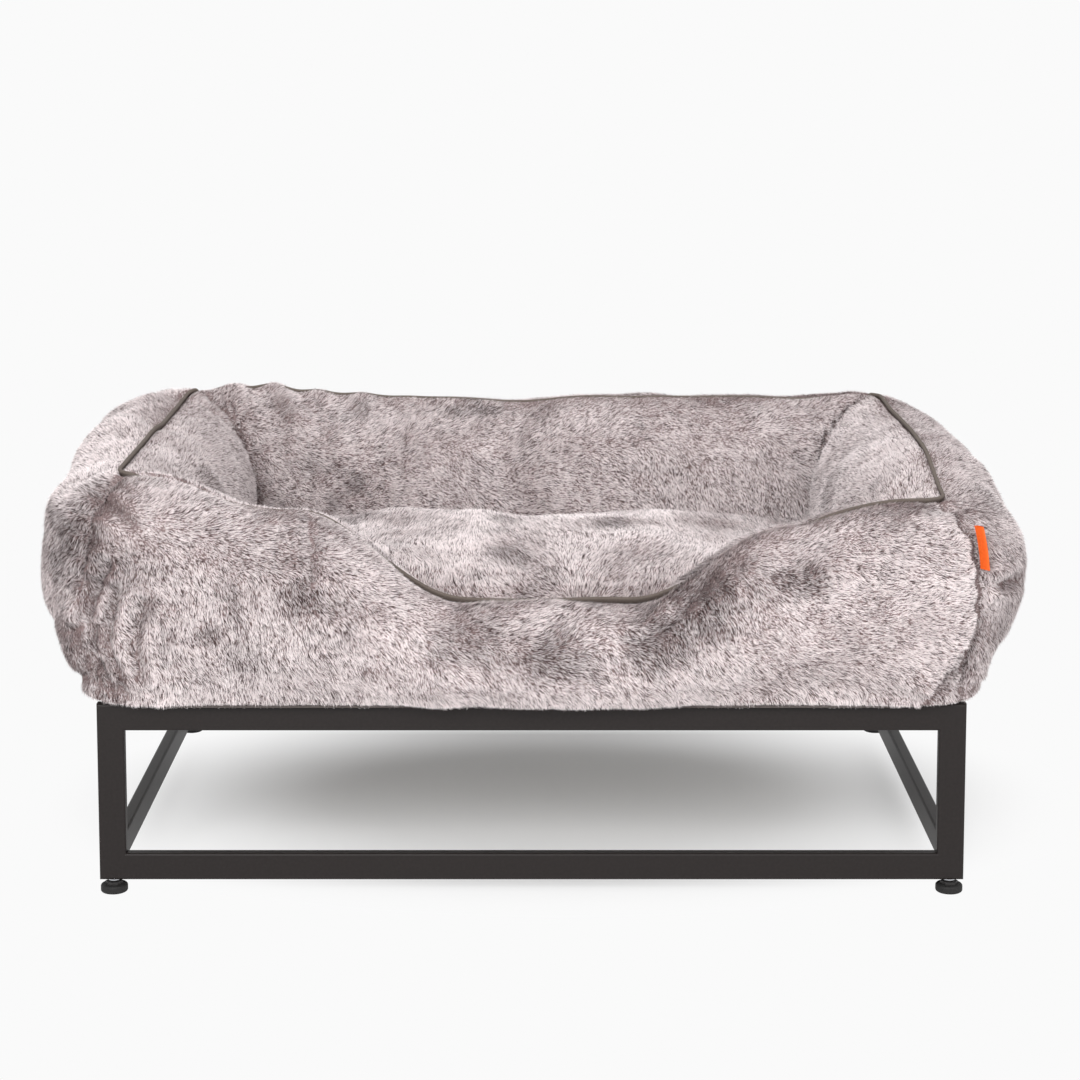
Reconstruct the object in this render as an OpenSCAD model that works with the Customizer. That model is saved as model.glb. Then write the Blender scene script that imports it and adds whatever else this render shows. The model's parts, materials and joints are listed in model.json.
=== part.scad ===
// Raised dog bed: a fur bolster bed on a low stand of rectangular steel tube.
// Millimetres, +Z up, front towards -Y. The origin is on the floor under the middle of the object.

/* [Stand] */
// Width of the stand over its legs
stand_w = 960; // [700:5:1300]
// Depth of the stand over its front and rear frames
stand_d = 660; // [560:5:900]
// Height of the tube frame without its feet
stand_h = 200; // [150:5:350]
// Wide side of the rectangular tube
tube_face = 30; // [28:0.5:40]
// Narrow side of the rectangular tube
tube_depth = 15; // [15:0.5:25]
// Wall of the tube
tube_wall = 1.5; // [1:0.1:2]
// Outside edge radius of the tube
tube_r = 2.5; // [2.1:0.1:4]
// How far the side rails sit inside the ends of the front and rear frames
side_inset = 3; // [0:0.5:6]

/* [Corner joints] */
// Length of an ear, inwards from its side rail
ear_w = 26; // [24:1:40]
// Height of an ear
ear_h = 14; // [12:0.5:15]
// Thickness of an ear
ear_t = 3; // [2:0.5:5]
// Distance of a bolt from the side rail
bolt_reach = 15; // [13:0.5:17]
// Thread diameter of the corner bolts
bolt_d = 6; // [5:0.5:6]
// Length of a corner bolt under its head
bolt_len = 12; // [10:0.5:13]
// Diameter of a bolt head
bolt_head_d = 10.5; // [9.5:0.1:12]
// Height of a bolt head
bolt_head_h = 3.3; // [2.6:0.1:4]
// Width across the flats of a captive nut
nut_flats = 10; // [9:0.5:11]
// Height of a captive nut
nut_h = 5; // [4:0.1:5]
// Radial clearance of a bolt in its drilled holes
bolt_play = 0.25; // [0.1:0.05:0.5]
// Radial clearance of a thread in its nut
thread_play = 0.05; // [0.02:0.01:0.1]

/* [Deck] */
// Thickness of the plywood deck
deck_t = 12; // [9:0.5:14]
// Gap around the deck
deck_gap = 1; // [0.5:0.5:4]
// Length of a tab along its rail
tab_l = 30; // [20:1:50]
// Reach of a tab under the deck
tab_reach = 20; // [15:1:40]
// Thickness of a tab
tab_t = 3; // [2:0.5:3]
// Distance of the outer front and rear tabs from the middle
tab_x = 300; // [60:5:300]
// Distance of the side tabs from the middle
tab_y = 150; // [30:5:220]
// Shank diameter of a deck screw
screw_d = 4; // [3:0.5:5]
// Length of a deck screw under its head
screw_len = 11; // [9:0.5:11]
// Head diameter of a deck screw
screw_head_d = 8; // [7:0.5:10]
// Head height of a deck screw
screw_head_h = 2.4; // [2:0.1:3]
// Radial clearance around a deck screw
screw_play = 0.05; // [0.02:0.01:0.2]

/* [Feet] */
// Height of the frame's underside above the floor
foot_gap = 15; // [14.5:0.1:20]
// Diameter of a foot pad
pad_d = 30; // [26:1:40]
// Height of a foot pad
pad_h = 9; // [7:0.1:9]
// Edge radius of a foot pad
pad_r = 2.5; // [1:0.1:3]
// Diameter of the stud's thread
stud_d = 8; // [6:0.5:8]
// Length of the stud above its collar
stud_len = 34; // [26:1:60]
// Length of the stud's end inside the pad
stud_seat = 5.5; // [3:0.1:5.5]
// Width across the flats of the stud's collar
collar_flats = 17; // [13:0.5:20]
// Height of the stud's collar
collar_h = 3; // [2:0.1:3]
// Outside diameter of the threaded insert
insert_d = 11; // [10:0.1:11.5]
// Length of the threaded insert inside the tube
insert_len = 10; // [6:0.5:12]
// Diameter of the insert's flange
insert_flange_d = 13; // [12:0.5:16]
// Thickness of the insert's flange
insert_flange_h = 1.2; // [0.8:0.1:1.2]
// Radial running clearance of a stud
stud_play = 0.06; // [0.02:0.01:0.1]
// Gap under the stud's end in its pad
stud_end_gap = 0.4; // [0.2:0.1:1]

/* [Bolster] */
// How far the base of the bed stands out past the sides of the stand
side_overhang = 23; // [0:1:60]
// How far the base of the bed stands out past the front and rear of the stand
front_overhang = 14; // [0:1:60]
// Height of the ridge at the sides and the rear
ridge_h = 256; // [230:2:340]
// How much lower the ridge is at the front right corner
corner_drop = 28; // [0:1:30]
// Length over which the right side's ridge rises from that corner
corner_rise = 160; // [80:5:300]
// Height of the ridge left of the entry
left_shoulder_h = 216; // [150:2:230]
// Height of the ridge right of the entry
right_shoulder_h = 198; // [150:2:200]
// Height of the ridge in the middle of the entry
entry_h = 108; // [80:2:140]
// Width of the entry over its shoulders
entry_w = 560; // [420:5:600]
// Width of the level middle of the entry
entry_floor_w = 190; // [100:5:300]
// Sideways offset of the entry from the middle
entry_shift = 15; // [-40:1:40]
// How far the bolster's outer base lies outside its ridge
base_out = 44; // [20:1:70]
// How far the bolster's outer belly stands outside its ridge
belly_out = 108; // [80:1:140]
// How far the bolster's inner belly stands inside its ridge
belly_in = 96; // [70:1:120]
// How far the bolster's inner base lies inside its ridge
base_in = 80; // [50:1:100]
// Corner radius of the ridge
ridge_r = 35; // [20:1:60]
// Least corner radius of the inner panels
inner_r = 8; // [4:1:20]
// Growth of the corner radius outside the ridge, for each millimetre of swell
corner_growth = 1.65; // [1:0.05:1.8]
// Turn at which a corner seam lies, counted from the front or the rear
seam_turn = 40; // [35:1:55]
// Thickness of a fur panel, backing and pile together
panel_t = 12; // [6:0.5:14]
// Clearance between a panel and the fill behind it
fill_gap = 0.4; // [0.2:0.1:2]
// Thickness of the base cloth
base_t = 2; // [1:0.5:4]

/* [Trim] */
// Diameter of the piping on the ridge
piping_d = 7; // [4:0.5:10]
// Gap between the piping and the seam under it
piping_gap = 0.4; // [0.2:0.1:1]
// Width of the seam valley that the piping lies in
valley_w = 22; // [16:1:30]
// Depth of the seam valley
valley_depth = 4; // [2:0.5:6]
// Height of the tag in the corner seam
tag_h = 46; // [20:1:70]
// How far the tag stands out of the seam
tag_out = 12; // [6:1:20]
// How far the tag is sewn into the seam
tag_root = 8; // [3:1:8]
// Thickness of the tag
tag_t = 2; // [1:0.5:4]
// Height of the middle of the tag above the base cloth
tag_z = 179; // [120:1:190]

/* [Floor cushion] */
// Gap between the floor cushion and the bolster's inner belly
cushion_gap = 4; // [2:1:20]
// Height of the cushion's crown
crown_h = 128; // [90:1:160]
// Height of the cushion's shoulder
cushion_edge_h = 84; // [50:1:88]
// How far the cushion's sides are drawn in between its corners
cushion_pull = 8; // [0:1:20]
// Thickness of the cushion's fur cover
cushion_cover_t = 10; // [5:0.5:14]
// Thickness of the cushion's base cloth
cushion_base_t = 2; // [1:0.5:4]

/* [Hidden] */
$fn = 48;

steel_colour = "#3a3534";
zinc_colour = "#b9bcc0";
wood_colour = "#b08d5b";
rubber_colour = "#222222";
fur_colour = "#cfc5c8";
lining_colour = "#6d6462";
fill_colour = "#f3f1ec";
foam_colour = "#e6d8a8";
piping_colour = "#7d7369";
tag_colour = "#e15f1e";

// Levels and places of the stand
frame_z = foot_gap;
frame_top = frame_z + stand_h;
inner_face_y = stand_d / 2 - tube_depth;
inner_face_x = stand_w / 2 - side_inset - tube_depth;
deck_bottom = frame_top - deck_t;
ear_clear = 1;
ear_z = [frame_z + tube_face / 2, deck_bottom - ear_clear - ear_h / 2];
bolt_x = inner_face_x - bolt_reach;
foot_x = stand_w / 2 - tube_face / 2;
foot_y = stand_d / 2 - tube_depth / 2;
cut_over = 1;
SIDES = [-1, 1];

// Shares of a fastener's head and size
bolt_top_share = 0.7;
socket_share = 0.75;
socket_depth_share = 0.6;
screw_top_share = 0.75;

// Places of the tabs: position, and the turn that points each one inwards from its rail
tab_places = concat(
    [for (s = SIDES, x = [-tab_x, 0, tab_x]) [x, s * inner_face_y, s > 0 ? 180 : 0]],
    [for (s = SIDES, y = [-tab_y, tab_y]) [s * inner_face_x, y, s > 0 ? 90 : -90]]
);

// Places of the bed
bed_z = frame_top + base_t;
ridge_half = [stand_w / 2 + side_overhang - base_out, stand_d / 2 + front_overhang - base_out];
valley_lip = 0.3;

// Rectangle with round corners, centred
module rounded_rect(w, h, r) {
    square([w - 2 * r, h], center = true);
    square([w, h - 2 * r], center = true);
    for (x = SIDES, y = SIDES)
        translate([x * (w / 2 - r), y * (h / 2 - r)]) circle(r);
}

// Rectangular tube along Z, its wide side along X
module tube(length) {
    difference() {
        linear_extrude(length, center = true) rounded_rect(tube_face, tube_depth, tube_r);
        linear_extrude(length + 2 * cut_over, center = true)
            rounded_rect(tube_face - 2 * tube_wall, tube_depth - 2 * tube_wall, tube_r - tube_wall);
    }
}

// Wedge that mitres one side of a frame: the frame's rectangle, seen from the front
module mitre(side) {
    x = stand_w / 2;
    z = stand_h / 2;
    f = tube_face;
    outline = side == "top" ? [[-x, z], [x, z], [x - f, z - f], [-x + f, z - f]]
        : side == "bottom" ? [[-x, -z], [x, -z], [x - f, -z + f], [-x + f, -z + f]]
        : side == "left" ? [[-x, -z], [-x, z], [-x + f, z - f], [-x + f, -z + f]]
        : [[x, -z], [x, z], [x - f, z - f], [x - f, -z + f]];
    rotate([90, 0, 0]) linear_extrude(2 * tube_depth, center = true) polygon(outline);
}

// Moves a frame's own middle to the front (-1) or the rear (1) of the stand
module at_frame(end) {
    translate([0, end * foot_y, frame_z + stand_h / 2]) children();
}

module mitred_rail(side) {
    z = (side == "top" ? 1 : -1) * (stand_h - tube_face) / 2;
    intersection() {
        translate([0, 0, z]) rotate([0, 90, 0]) tube(stand_w);
        mitre(side);
    }
}

module mitred_leg(side) {
    x = (side == "right" ? 1 : -1) * (stand_w - tube_face) / 2;
    intersection() {
        translate([x, 0, 0]) tube(stand_h);
        mitre(side);
    }
}

// Holes for the two corner bolts in the inner wall of a front or rear rail
module bolt_holes(end, level) {
    for (s = SIDES)
        translate([s * bolt_x, end * (inner_face_y + tube_wall / 2), ear_z[level]])
            rotate([90, 0, 0])
                cylinder(h = tube_wall + 2 * cut_over, r = bolt_d / 2 + bolt_play, center = true);
}

module foot_holes(end) {
    for (s = SIDES)
        translate([s * foot_x, end * foot_y, frame_z - cut_over])
            cylinder(h = tube_wall + 2 * cut_over, r = insert_d / 2 + stud_play);
}

module top_rail(end) {
    color(steel_colour) difference() {
        at_frame(end) mitred_rail("top");
        bolt_holes(end, 1);
    }
}

module bottom_rail(end) {
    color(steel_colour) difference() {
        at_frame(end) mitred_rail("bottom");
        bolt_holes(end, 0);
        foot_holes(end);
    }
}

module leg(end, side) {
    color(steel_colour) at_frame(end) mitred_leg(side);
}

module side_rail(s, level) {
    z = level == 1 ? frame_top - tube_face / 2 : frame_z + tube_face / 2;
    color(steel_colour)
        translate([s * (inner_face_x + tube_depth / 2), 0, z])
            rotate([90, 0, 0]) rotate([0, 0, 90]) tube(2 * inner_face_y);
}

module front_top_rail() { top_rail(-1); }
module front_bottom_rail() { bottom_rail(-1); }
module front_left_leg() { leg(-1, "left"); }
module front_right_leg() { leg(-1, "right"); }
module rear_top_rail() { top_rail(1); }
module rear_bottom_rail() { bottom_rail(1); }
module rear_left_leg() { leg(1, "left"); }
module rear_right_leg() { leg(1, "right"); }
module left_top_side_rail() { side_rail(-1, 1); }
module right_top_side_rail() { side_rail(1, 1); }
module left_bottom_side_rail() { side_rail(-1, 0); }
module right_bottom_side_rail() { side_rail(1, 0); }

// Puts a piece at each of the eight corner joints, with -Y pointing into the front or rear rail
module at_corner_joints() {
    for (s = SIDES, end = SIDES, level = [0, 1])
        translate([s * bolt_x, end * inner_face_y, ear_z[level]])
            mirror([s < 0 ? 1 : 0, 0, 0]) mirror([0, end > 0 ? 1 : 0, 0]) children();
}

// Plates welded to the side rails' ends, each with one bolt hole
module corner_ears() {
    color(steel_colour) at_corner_joints() difference() {
        translate([bolt_reach - ear_w, 0, -ear_h / 2]) cube([ear_w, ear_t, ear_h]);
        translate([0, ear_t / 2, 0]) rotate([90, 0, 0])
            cylinder(h = ear_t + 2 * cut_over, r = bolt_d / 2 + bolt_play, center = true);
    }
}

// Button head bolts with a hexagon socket
module corner_bolts() {
    socket_d = bolt_d * socket_share;
    color(zinc_colour) at_corner_joints() translate([0, ear_t, 0]) rotate([90, 0, 0]) difference() {
        union() {
            cylinder(h = bolt_len, r = bolt_d / 2);
            translate([0, 0, -bolt_head_h / 2]) cylinder(h = bolt_head_h / 2, d = bolt_head_d);
            translate([0, 0, -bolt_head_h])
                cylinder(h = bolt_head_h / 2, d1 = bolt_head_d * bolt_top_share, d2 = bolt_head_d);
        }
        translate([0, 0, -bolt_head_h - cut_over])
            cylinder(h = bolt_head_h * socket_depth_share + cut_over, d = socket_d, $fn = 6);
    }
}

// Nuts welded inside the rails
module corner_nuts() {
    color(zinc_colour) at_corner_joints() translate([0, -tube_wall, 0]) rotate([90, 0, 0]) difference() {
        cylinder(h = nut_h, d = nut_flats / cos(30), $fn = 6);
        translate([0, 0, -cut_over])
            cylinder(h = nut_h + 2 * cut_over, r = bolt_d / 2 + thread_play);
    }
}

// Puts a piece at each deck tab's screw, with +Y pointing inwards
module at_tab_screws() {
    for (p = tab_places)
        translate([p[0], p[1], deck_bottom]) rotate([0, 0, p[2]])
            translate([0, tab_reach / 2, 0]) children();
}

module deck_panel() {
    pilot = screw_len - tab_t + cut_over;
    color(wood_colour) difference() {
        translate([deck_gap - inner_face_x, deck_gap - inner_face_y, deck_bottom])
            cube([2 * (inner_face_x - deck_gap), 2 * (inner_face_y - deck_gap), deck_t]);
        at_tab_screws() translate([0, 0, -cut_over])
            cylinder(h = pilot + cut_over, r = screw_d / 2 + screw_play);
    }
}

module deck_tabs() {
    color(steel_colour) at_tab_screws() difference() {
        translate([-tab_l / 2, -tab_reach / 2, -tab_t]) cube([tab_l, tab_reach, tab_t]);
        translate([0, 0, -tab_t - cut_over])
            cylinder(h = tab_t + 2 * cut_over, r = screw_d / 2 + screw_play);
    }
}

module deck_screws() {
    color(zinc_colour) at_tab_screws() translate([0, 0, -tab_t]) {
        cylinder(h = screw_len, d = screw_d);
        translate([0, 0, -screw_head_h / 2]) cylinder(h = screw_head_h / 2, d = screw_head_d);
        translate([0, 0, -screw_head_h])
            cylinder(h = screw_head_h / 2, d1 = screw_head_d * screw_top_share, d2 = screw_head_d);
    }
}

module foot_inserts() {
    color(zinc_colour) for (x = SIDES, y = SIDES) translate([x * foot_x, y * foot_y, frame_z]) difference() {
        union() {
            cylinder(h = insert_len, d = insert_d);
            translate([0, 0, -insert_flange_h]) cylinder(h = insert_flange_h, d = insert_flange_d);
        }
        translate([0, 0, -insert_flange_h - cut_over])
            cylinder(h = insert_len + insert_flange_h + 2 * cut_over, r = stud_d / 2 + stud_play);
    }
}

// Rubber disc with round edges and a blind socket for the stud
module foot_pad(x, y) {
    r = pad_d / 2;
    socket_floor = pad_h - stud_seat - stud_end_gap;
    color(rubber_colour) translate([x * foot_x, y * foot_y, 0]) difference() {
        rotate_extrude() {
            square([r - pad_r, pad_h]);
            translate([0, pad_r]) square([r, pad_h - 2 * pad_r]);
            for (z = [pad_r, pad_h - pad_r]) translate([r - pad_r, z]) circle(pad_r);
        }
        translate([0, 0, socket_floor])
            cylinder(h = pad_h - socket_floor + cut_over, r = stud_d / 2 + stud_play);
    }
}

// Threaded stud with a hexagon collar that rests on its pad
module foot_stud(x, y) {
    color(steel_colour) translate([x * foot_x, y * foot_y, pad_h]) {
        translate([0, 0, -stud_seat]) cylinder(h = stud_seat + collar_h + stud_len, d = stud_d);
        cylinder(h = collar_h, d = collar_flats / cos(30), $fn = 6);
    }
}

module front_left_pad() { foot_pad(-1, -1); }
module front_right_pad() { foot_pad(1, -1); }
module rear_left_pad() { foot_pad(-1, 1); }
module rear_right_pad() { foot_pad(1, 1); }
module front_left_stud() { foot_stud(-1, -1); }
module front_right_stud() { foot_stud(1, -1); }
module rear_left_stud() { foot_stud(-1, 1); }
module rear_right_stud() { foot_stud(1, 1); }

// The bolster is a ring. Its section is given as points [outwards from the ridge, height], and its
// plan as rounded rectangles whose size and corner radius follow that outward distance.
outer_steps = 6;
inner_steps = 5;
corner_rings = 3;
straight_rings = [16, 7, 7, 5];
piping_sides = 6;
cushion_spokes = 40;

function ease(from, to, x) = let (t = min(1, max(0, (x - from) / (to - from)))) t * t * (3 - 2 * t);
function bezier(p, t) =
    pow(1 - t, 3) * p[0] + 3 * t * pow(1 - t, 2) * p[1] + 3 * t * t * (1 - t) * p[2] + pow(t, 3) * p[3];
function unit(v) = v / norm(v);

// Curves of the outer and inner sides. At its middle each one reaches its belly.
low_handle_z = ridge_h * 0.24;
high_handle_z = ridge_h * 1.03;
outer_curve = [
    [base_out, 0],
    [belly_out, low_handle_z],
    [(belly_out - base_out / 8) * 8 / 3 - belly_out, high_handle_z],
    [0, ridge_h]
];
inner_handle = (belly_in - base_in / 8) * 4 / 3;
inner_curve = [[0, ridge_h], [-inner_handle, ridge_h], [-inner_handle, low_handle_z], [-base_in, 0]];

// Section from the outer base over the ridge seam to the inner base
section = concat(
    [for (i = [0:outer_steps - 1]) bezier(outer_curve, i / outer_steps)],
    [[valley_w / 2, ridge_h - valley_lip], [0, ridge_h - valley_depth], [-valley_w / 2, ridge_h - valley_lip]],
    [for (i = [1:inner_steps]) bezier(inner_curve, i / inner_steps)]
);
section_n = len(section);
seam = outer_steps + 1;

// How far a flat-bottomed inset moves the base points, which stay on the base cloth
function base_shift(from, to, inset) = let (d = unit(to - from)) inset / abs(d[1]);
function inset_point(i, inset) =
    i == 0 ? section[0] - [base_shift(section[0], section[1], inset), 0]
    : i == section_n - 1 ? section[i] + [base_shift(section[i], section[i - 1], inset), 0]
    : let (d = unit(section[i + 1] - section[i - 1])) section[i] - inset * [d[1], -d[0]];
function inset_section(inset) = [for (i = [0:section_n - 1]) inset_point(i, inset)];

inner_growth = 0.25;
function corner_radius(out) =
    out > 0 ? ridge_r + corner_growth * out : max(inner_r, ridge_r + inner_growth * out);

// Rings of one side, from its left seam to its right one: [turn round the corner, place along the side]
function side_turn(side) = side % 2 == 0 ? seam_turn : 90 - seam_turn;
function side_rings(side) = let (n = straight_rings[side], turn = side_turn(side)) concat(
    [for (i = [0:corner_rings - 1]) [-turn * (1 - i / corner_rings), -1]],
    [for (i = [0:n]) [0, 2 * i / n - 1]],
    [for (i = [1:corner_rings]) [turn * i / corner_rings, 1]]
);

// Half the length of a side's ridge and its distance from the middle. Sides: front, right, rear, left.
function side_half(side) = side % 2 == 0 ? ridge_half : [ridge_half[1], ridge_half[0]];
function along(side, ring, out) = let (h = side_half(side), r = corner_radius(out))
    ring[1] * (h[0] + out - r) + r * sin(ring[0]);
function away(side, ring, out) = let (h = side_half(side), r = corner_radius(out))
    h[1] + out - r + r * cos(ring[0]);
function plan(side, ring, out) = let (l = along(side, ring, out), w = away(side, ring, out))
    [[l, -w], [w, l], [-l, w], [-w, -l]][side];

// Height of the ridge: level at the left and the rear, with the entry in the front
function front_height(x) = let (
    right = x > entry_shift,
    top = ridge_h - (right ? corner_drop : 0),
    shoulder = right ? right_shoulder_h : left_shoulder_h
) top - (top - shoulder) * ease(ridge_half[0] - ridge_r, entry_w / 2, abs(x))
    - (shoulder - entry_h) * (1 - ease(entry_floor_w / 2, entry_w / 2, abs(x - entry_shift)));
function right_height(y) = let (front = ridge_r - ridge_half[1])
    ridge_h - corner_drop * (1 - ease(front, front + corner_rise, y));
function ring_height(side, ring) = let (l = along(side, ring, 0))
    side == 0 ? front_height(l) : side == 1 ? right_height(l) : ridge_h;
function bolster_point(side, ring, p) = let (xy = plan(side, ring, p[0]))
    [xy[0], xy[1], bed_z + p[1] * ring_height(side, ring) / ridge_h];

// Two triangles between the corners of a grid cell, seen from outside
function cell(a, b, c, d) = [[a, d, c], [a, c, b]];
function flat_list(lists) = [for (l = lists, item = l) item];

// Faces of a sheet with thickness: an outer grid of rings by points, then the inner grid
function sheet_faces(rings, points) = let (
    o = function(i, j) i * points + j,
    n = function(i, j) (rings + i) * points + j,
    last_r = rings - 1,
    last_p = points - 1
) flat_list(concat(
    [for (i = [0:last_r - 1], j = [0:last_p - 1]) cell(o(i, j), o(i + 1, j), o(i + 1, j + 1), o(i, j + 1))],
    [for (i = [0:last_r - 1], j = [0:last_p - 1]) cell(n(i, j), n(i, j + 1), n(i + 1, j + 1), n(i + 1, j))],
    [for (i = [0:last_r - 1]) cell(n(i, 0), n(i + 1, 0), o(i + 1, 0), o(i, 0))],
    [for (i = [0:last_r - 1]) cell(o(i, last_p), o(i + 1, last_p), n(i + 1, last_p), n(i, last_p))],
    [for (j = [0:last_p - 1]) cell(n(0, j), o(0, j), o(0, j + 1), n(0, j + 1))],
    [for (j = [0:last_p - 1]) cell(o(last_r, j), n(last_r, j), n(last_r, j + 1), o(last_r, j + 1))]
));

// Fur panel of one side between two points of the section
module panel(side, from, to) {
    rings = side_rings(side);
    inner = inset_section(panel_t);
    points = [for (s = [section, inner], r = rings, j = [from:to]) bolster_point(side, r, s[j])];
    color(fur_colour) polyhedron(points, sheet_faces(len(rings), to - from + 1));
}

// Closed fill of one side, inside its panels
module fill(side) {
    rings = side_rings(side);
    n = section_n;
    last = len(rings) - 1;
    outline = inset_section(panel_t + fill_gap);
    at = function(i, j) i * n + j % n;
    faces = flat_list(concat(
        [for (i = [0:last - 1], j = [0:n - 1]) cell(at(i, j), at(i + 1, j), at(i + 1, j + 1), at(i, j + 1))],
        [for (j = [0:n / 2 - 2]) cell(at(0, j), at(0, j + 1), at(0, n - 2 - j), at(0, n - 1 - j))],
        [for (j = [0:n / 2 - 2]) cell(at(last, j), at(last, n - 1 - j), at(last, n - 2 - j), at(last, j + 1))]
    ));
    color(fill_colour) polyhedron([for (r = rings, p = outline) bolster_point(side, r, p)], faces);
}

module front_outer_panel() { panel(0, 0, seam); }
module right_outer_panel() { panel(1, 0, seam); }
module rear_outer_panel() { panel(2, 0, seam); }
module left_outer_panel() { panel(3, 0, seam); }
module front_inner_panel() { panel(0, seam, section_n - 1); }
module right_inner_panel() { panel(1, seam, section_n - 1); }
module rear_inner_panel() { panel(2, seam, section_n - 1); }
module left_inner_panel() { panel(3, seam, section_n - 1); }
module front_fill() { fill(0); }
module right_fill() { fill(1); }
module rear_fill() { fill(2); }
module left_fill() { fill(3); }

// Cloth under the bolster and the cushion
module base_cloth() {
    color(lining_colour) translate([0, 0, frame_top]) linear_extrude(base_t)
        rounded_rect(2 * (ridge_half[0] + base_out), 2 * (ridge_half[1] + base_out), corner_radius(base_out));
}

// Cord sewn along the whole ridge, lying in the seam valley
module ridge_piping() {
    r = piping_d / 2;
    seam_share = (ridge_h - valley_depth) / ridge_h;
    loop = [for (side = [0:3], ring = side_rings(side)) if (ring[0] > -side_turn(side)) [side, ring]];
    n = len(loop);
    m = piping_sides;
    points = [for (p = loop, k = [0:m - 1]) let (a = 360 * k / m, xy = plan(p[0], p[1], r * cos(a)))
        [xy[0], xy[1], bed_z + ring_height(p[0], p[1]) * seam_share + piping_gap + r * (1 + sin(a))]];
    at = function(i, k) (i % n) * m + k % m;
    faces = flat_list([for (i = [0:n - 1], k = [0:m - 1])
        cell(at(i, k), at(i + 1, k), at(i + 1, k + 1), at(i, k + 1))]);
    color(piping_colour) polyhedron(points, faces);
}

// Plain tag sewn into the front right corner seam
module seam_tag() {
    seam_ring = [seam_turn, 1];
    corner = plan(0, seam_ring, belly_out);
    way = corner - plan(0, seam_ring, base_out);
    color(tag_colour) translate([corner[0], corner[1], bed_z + tag_z]) rotate([0, 0, atan2(way[1], way[0])])
        translate([-tag_root, -tag_t / 2, -tag_h / 2]) cube([tag_root + tag_out, tag_t, tag_h]);
}

// Floor cushion: rings of [share of the outline, height], from its base to its shoulder and crown
cushion_half = [for (h = ridge_half) h - belly_in - cushion_gap];
cushion_roundness = 5;
cushion_foot_share = 0.965;
cushion_z = bed_z + cushion_base_t;
function cushion_rings(inset) = let (
    edge = cushion_edge_h - cushion_base_t - inset,
    crown = crown_h - cushion_base_t - inset
) [
    [cushion_foot_share, 0], [1, edge * 0.3], [0.99, edge * 0.68], [0.93, edge],
    for (s = [0.7, 0.4]) [s, crown - (crown - edge) * s * s]
];
function power(c, e) = sign(c) * pow(abs(c), e);
function cushion_outline(a, inset) = let (e = 2 / cushion_roundness, pull = cushion_pull * (1 - abs(sin(2 * a)))) [
    (cushion_half[0] - inset) * power(cos(a), e) - pull * cos(a),
    (cushion_half[1] - inset) * power(sin(a), e) - pull * sin(a)
];
function cushion_points(inset) = concat(
    [for (i = [0:cushion_spokes - 1], r = cushion_rings(inset))
        let (xy = r[0] * cushion_outline(360 * i / cushion_spokes, inset)) [xy[0], xy[1], cushion_z + r[1]]],
    [[0, 0, bed_z + crown_h - inset]]
);
cushion_ring_n = len(cushion_rings(0));
function dome_faces(first) = let (
    at = function(i, j) first + (i % cushion_spokes) * cushion_ring_n + j,
    top = cushion_ring_n - 1
) concat(
    flat_list([for (i = [0:cushion_spokes - 1], j = [0:top - 1])
        cell(at(i, j), at(i + 1, j), at(i + 1, j + 1), at(i, j + 1))]),
    [for (i = [0:cushion_spokes - 1]) [at(i + 1, top), at(i, top), first + cushion_spokes * cushion_ring_n]]
);
function reversed(faces) = [for (f = faces) [f[2], f[1], f[0]]];

module cushion_cover() {
    inner = cushion_spokes * cushion_ring_n + 1;
    at = function(i) (i % cushion_spokes) * cushion_ring_n;
    rim = flat_list([for (i = [0:cushion_spokes - 1])
        cell(inner + at(i), inner + at(i + 1), at(i + 1), at(i))]);
    color(fur_colour) polyhedron(
        concat(cushion_points(0), cushion_points(cushion_cover_t)),
        concat(dome_faces(0), reversed(dome_faces(inner)), rim)
    );
}

module cushion_foam() {
    points = cushion_points(cushion_cover_t + fill_gap);
    centre = len(points);
    at = function(i) (i % cushion_spokes) * cushion_ring_n;
    underside = [for (i = [0:cushion_spokes - 1]) [at(i), at(i + 1), centre]];
    color(foam_colour) polyhedron(concat(points, [[0, 0, cushion_z]]), concat(dome_faces(0), underside));
}

module cushion_base() {
    inset = cushion_pull + cushion_cover_t / 2;
    half = cushion_foot_share * cushion_half - [inset, inset];
    r = cushion_half[1] / cushion_roundness;
    color(lining_colour) translate([0, 0, bed_z]) linear_extrude(cushion_base_t)
        rounded_rect(2 * half[0], 2 * half[1], r);
}

front_top_rail();
front_bottom_rail();
front_left_leg();
front_right_leg();
rear_top_rail();
rear_bottom_rail();
rear_left_leg();
rear_right_leg();
left_top_side_rail();
right_top_side_rail();
left_bottom_side_rail();
right_bottom_side_rail();
corner_ears();
corner_bolts();
corner_nuts();
deck_panel();
deck_tabs();
deck_screws();
foot_inserts();
front_left_pad();
front_right_pad();
rear_left_pad();
rear_right_pad();
front_left_stud();
front_right_stud();
rear_left_stud();
rear_right_stud();
base_cloth();
front_outer_panel();
right_outer_panel();
rear_outer_panel();
left_outer_panel();
front_inner_panel();
right_inner_panel();
rear_inner_panel();
left_inner_panel();
front_fill();
right_fill();
rear_fill();
left_fill();
ridge_piping();
seam_tag();
cushion_cover();
cushion_base();
cushion_foam();
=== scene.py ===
"""Looks of the raised dog bed, and its stage.

The bed is a fur bolster with a loose cushion, and lies on a coated steel stand.
Lengths are in metres, in the part's own frame: +Z up, front towards -Y.
"""

import json
import math

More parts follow.
